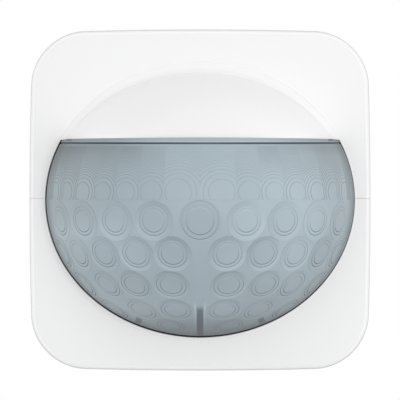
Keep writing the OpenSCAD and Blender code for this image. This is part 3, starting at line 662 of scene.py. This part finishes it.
def opening_edge(turn, grow, y):
    k = 1 / math.hypot(math.cos(turn) / (dome_a + grow), math.sin(turn) / (dome_b + grow))
    if k * math.sin(turn) > hood_z:
        k *= 1 - hood_lap / dome_b
    return (k * math.cos(turn), y, k * math.sin(turn))


def plate_section(share):
    turn = 2 * math.pi * share
    rounds = [i * math.pi / 2 / round_rows for i in range(round_rows + 1)]
    lip = [opening_edge(turn, opening_gap + lip_r * (1 - math.cos(q)),
                        plate_front + lip_r * (1 - math.sin(q))) for q in rounds]
    edge = [plate_edge(turn, edge_r * (1 - math.sin(q)),
                       plate_front + edge_r * (1 - math.cos(q))) for q in rounds]
    foot = [plate_edge(turn, 0.0, cover_back - foot_break), plate_edge(turn, foot_break, cover_back),
            plate_edge(turn, cover_wall, cover_back), plate_edge(turn, cover_wall, cover_inside)]
    return ([opening_edge(turn, opening_gap, cover_inside)] + lip
            + [opening_edge(turn, opening_gap + lip_r + land, plate_front)]
            + [plate_edge(turn, edge_r + land, plate_front)] + edge + foot)


def swept(columns, sections):
    bm = bmesh.new()
    stations = [sections(k / columns) for k in range(columns + 1)]
    rows = len(stations[0])
    bmesh.ops.create_grid(bm, x_segments=columns, y_segments=rows, size=1)
    for v in bm.verts:
        points = stations[round((v.co.x + 1) / 2 * columns)]
        v.co = points[round((v.co.y + 1) / 2 * rows) % rows]
    bmesh.ops.remove_doubles(bm, verts=bm.verts, dist=fine_weld)
    bmesh.ops.holes_fill(bm, edges=[e for e in bm.edges if e.is_boundary], sides=0)
    bmesh.ops.recalc_face_normals(bm, faces=bm.faces)
    return bm


def cut_at_seam(bm, side):
    cut = bmesh.ops.bisect_plane(bm, geom=bm.verts[:] + bm.edges[:] + bm.faces[:],
                                 plane_co=(0, plate_front, seam_z - seam_half * side),
                                 plane_no=(0, -seam_tilt * side, side), clear_outer=True)
    brim = [g for g in cut["geom_cut"] if isinstance(g, bmesh.types.BMEdge)]
    bmesh.ops.holes_fill(bm, edges=brim, sides=0)
    bmesh.ops.bevel(bm, geom=brim, offset=seam_soft, segments=4, profile=0.5, affect="EDGES", material=-1)


cover_white = moulded("cover_white", (0.86, 0.86, 0.86), 0.36, 0.008, 3000.0, 0.000002)
tree = cover_white.node_tree
surface = tree.nodes["Principled BSDF"]
surface.inputs["Specular IOR Level"].default_value = 0.35
spot = new_node(tree, "ShaderNodeSeparateXYZ")
tree.links.new(new_node(tree, "ShaderNodeTexCoord").outputs["Object"], spot.inputs["Vector"])
across = spot.outputs["X"]
depth = spot.outputs["Y"]
height = spot.outputs["Z"]
# Painted shade darkens the band where the edge rounding turns to the side
painted_edge_shade = product(ramp(depth, (-0.0107, -0.0105), (0.0, 0.27)),
                  ramp(depth, (-0.0096, -0.0092), (1.0, 0.0)))
# Painted highlights: a fine bright line on the edge rounding, fainter low down, another round the lens
# opening below the hood, and a faint band on the collar
painted_edge_highlight = product(ramp(depth, (-0.010995, -0.01097), (0.0, 0.13)),
                    ramp(depth, (-0.01092, -0.01087), (1.0, 0.0)),
                    ramp(height, (-0.0398, -0.036), (0.3, 1.0)))
ring = sums("ADD", product(across, across, dome_a ** -2), product(height, height, dome_b ** -2))
painted_lip_highlight = product(ramp(ring, (0.96, 0.985), (0.0, 0.12)), ramp(ring, (1.012, 1.03), (1.0, 0.0)),
                   ramp(height, (0.0138, 0.0148), (1.0, 0.0)))
painted_collar_highlight = product(ramp(ring, (0.88, 0.94), (0.0, 0.05)), ramp(ring, (0.985, 1.0), (1.0, 0.0)),
                      ramp(height, (0.0138, 0.0148), (0.0, 1.0)))
painted_highlights = sums("ADD", sums("ADD", painted_edge_highlight, painted_lip_highlight), painted_collar_highlight)
tint = new_node(tree, "ShaderNodeVectorMath", operation="SCALE")
tree.links.new(surface.inputs["Base Color"].links[0].from_socket, tint.inputs[0])
tree.links.new(sums("SUBTRACT", sums("ADD", 1.0, painted_highlights), painted_edge_shade), tint.inputs["Scale"])
tree.links.new(tint.outputs["Vector"], surface.inputs["Base Color"])
lower = swept(plate_columns, plate_section)
cut_at_seam(lower, 1)
lower_cover = piece(lower, "lower_cover_shell", cover_white, smooth_angle=30)
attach(lower_cover, "sensor_head")
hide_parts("lower_cover")


# Upper cover: the half with the hood over the setting controls, pulled off towards the room.
# It is the same white plastic. A rounded collar leads from the plate into the crown of the hood,
# and the brim over the lens is rounded off.
crown_a = 0.0357
crown_b = 0.0298
crown_y = -0.0132
collar_foot = -0.0098
crown_foot = 0.1
collar_bend = ((0.0, 0.0), (0.1, 0.0003), (0.4, 0.0006), (0.76, 0.0012))
valley_in = 0.0006
valley_out = 0.0043
brim_z = 0.01432
hood_tilt = -0.0035
brim_r = 0.00144
brim_turn = math.radians(60)
brim_wide = 0.0245
brim_rows = 6
brim_skin = 0.95
flush_least = 0.25
flush_deep = 0.002
hood_spare = 0.002
hood_columns = 240
collar_rows = 14
valley_rows = 16
crown_rows = 48
inside_rows = 28

upper = swept(plate_columns, plate_section)
cut_at_seam(upper, -1)


def bend(reins, steps):
    shares = [i / steps for i in range(steps + 1)]
    return [sum((Vector(reins[k]) * math.comb(3, k) * q ** k * (1 - q) ** (3 - k) for k in range(1, 4)),
                Vector(reins[0]) * (1 - q) ** 3) for q in shares]


def crown_arc(turn, inset, start, steps):
    a = crown_a - inset
    b = crown_b - inset
    turns = [start + i * (math.pi / 2 - start) / steps for i in range(steps + 1)]
    return [Vector((a * math.cos(q) * math.cos(turn), crown_y - a * math.sin(q),
                    b * math.cos(q) * math.sin(turn))) for q in turns]


def hood_section(share):
    low = math.asin((hood_z - hood_spare) / dome_b)
    turn = low + (math.pi - 2 * low) * share
    foot = Vector((dome_a * math.cos(turn), plate_front, dome_b * math.sin(turn)))
    inward = Vector((crown_a * math.cos(turn), plate_front, crown_b * math.sin(turn))) - foot
    collar = [foot + inward * along - Vector((0, rise, 0))
              for along, rise in bend(collar_bend, collar_rows)]
    crown = crown_arc(turn, 0.0, crown_foot, crown_rows)
    level = (collar[-1] - collar[-2]).normalized() * valley_in
    steep = (crown[1] - crown[0]).normalized() * valley_out
    valley = bend((collar[-1], collar[-1] + level, crown[0] - steep, crown[0]), valley_rows)[1:-1]
    inside = crown_arc(turn, cover_wall, 0.0, inside_rows)[::-1]
    under = [inside[-1] + Vector((0, collar_foot - crown_y, 0)),
             foot + Vector((0, collar_foot - plate_front, 0))]
    return collar + valley + crown + inside + under


hood = swept(hood_columns, hood_section)
brim_h = brim_r * math.sin(brim_turn)
for k in range(brim_rows + 1):
    level = brim_h - brim_r * math.sin(brim_turn * (1 - k / brim_rows))
    cut = bmesh.ops.bisect_plane(hood, geom=hood.verts[:] + hood.edges[:] + hood.faces[:],
                                 plane_co=(0, plate_front, brim_z + level), plane_no=(0, hood_tilt, -1),
                                 clear_outer=k == 0)
    if k == 0:
        brim = [g for g in cut["geom_cut"] if isinstance(g, bmesh.types.BMEdge)]
        bmesh.ops.holes_fill(hood, edges=brim, sides=0)
for v in hood.verts:
    rise = v.co.z - brim_z - hood_tilt * (v.co.y - plate_front)
    ahead = min(0.0, v.co.y - crown_y)
    outside = (v.co.x / crown_a) ** 2 + (ahead / crown_a) ** 2 + (v.co.z / crown_b) ** 2 > brim_skin
    if outside and rise < brim_h:
        tuck = brim_r - math.sqrt(brim_r ** 2 - min(brim_h, brim_h - rise) ** 2)
        flush = max(flush_least, 1 - (v.co.x / brim_wide) ** 2)
        flush *= part_way(plate_front - v.co.y, 0.0, flush_deep)
        v.co -= Vector((v.co.x, ahead, 0)).normalized() * tuck * flush
merge_in(upper, hood)
upper_cover = piece(upper, "upper_cover_shell", cover_white, smooth_angle=30)
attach(upper_cover, "cover_cap")
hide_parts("upper_cover")


# Studio: a pale floor well below the switch and a camera with a long lens straight in front.
# Five soft lamps stand in front, low in front, at both sides and above.
# The world shows plain white to the camera and to reflections, and lights the rest more gently.
floor_half = 0.5
floor_at = (0, 0.1, -0.2)
room_light = 0.4
lamp_aim = Vector((0, -0.02, 0))
camera_away = 1.4

floor = bmesh.new()
bmesh.ops.create_grid(floor, x_segments=1, y_segments=1, size=floor_half,
                      matrix=Matrix.Translation(floor_at))
floor_pale = moulded("floor_pale", (0.9, 0.9, 0.9), 0.8, 0.01, 300.0, 0.00001)
floor_slab = piece(floor, "floor", floor_pale, smooth_angle=30)

world = bpy.data.worlds.new("studio")
bpy.context.scene.world = world
world.use_nodes = True
tree = world.node_tree
tree.nodes.clear()
rays = new_node(tree, "ShaderNodeLightPath")
seen = new_node(tree, "ShaderNodeMath", operation="MAXIMUM")
clear = new_node(tree, "ShaderNodeMath", operation="MAXIMUM")
white = new_node(tree, "ShaderNodeBackground", {"Color": (1, 1, 1, 1), "Strength": 1.0})
soft = new_node(tree, "ShaderNodeBackground", {"Color": (1, 1, 1, 1), "Strength": room_light})
either = new_node(tree, "ShaderNodeMixShader")
sky = new_node(tree, "ShaderNodeOutputWorld")
tree.links.new(rays.outputs["Is Camera Ray"], seen.inputs[0])
tree.links.new(rays.outputs["Is Glossy Ray"], seen.inputs[1])
tree.links.new(seen.outputs["Value"], clear.inputs[0])
tree.links.new(rays.outputs["Is Transmission Ray"], clear.inputs[1])
tree.links.new(clear.outputs["Value"], either.inputs["Fac"])
tree.links.new(soft.outputs["Background"], either.inputs[1])
tree.links.new(white.outputs["Background"], either.inputs[2])
tree.links.new(either.outputs["Shader"], sky.inputs["Surface"])


def softbox(name, spot, wide, high, watts):
    lamp = bpy.data.lights.new(name, "AREA")
    lamp.shape = "RECTANGLE"
    lamp.size = wide
    lamp.size_y = high
    lamp.energy = watts
    made = bpy.data.objects.new(name, lamp)
    made.location = spot
    made.rotation_euler = (lamp_aim - Vector(spot)).to_track_quat("-Z", "Y").to_euler()
    bpy.context.scene.collection.objects.link(made)


softbox("front_light", (0.15, -1.4, 0.06), 0.5, 0.5, 6.2)
softbox("low_light", (0.1, -1.35, -0.35), 0.5, 0.5, 1.2)
softbox("left_light", (-0.75, 0.1, 0.12), 0.75, 1.0, 3.0)
softbox("right_light", (0.75, 0.05, 0.12), 0.75, 1.0, 2.6)
softbox("top_light", (0.06, -0.14, 0.65), 1.2, 0.6, 2.05)

camera = bpy.data.cameras.new("camera")
camera.sensor_width = 36.0
camera.lens = 531.0
camera_object = bpy.data.objects.new("camera", camera)
camera_object.location = (0, plate_front - camera_away, 0)
camera_object.rotation_euler = (math.pi / 2, 0, 0)
bpy.context.scene.collection.objects.link(camera_object)
bpy.context.scene.camera = camera_object
bpy.context.scene.view_settings.view_transform = "Standard"
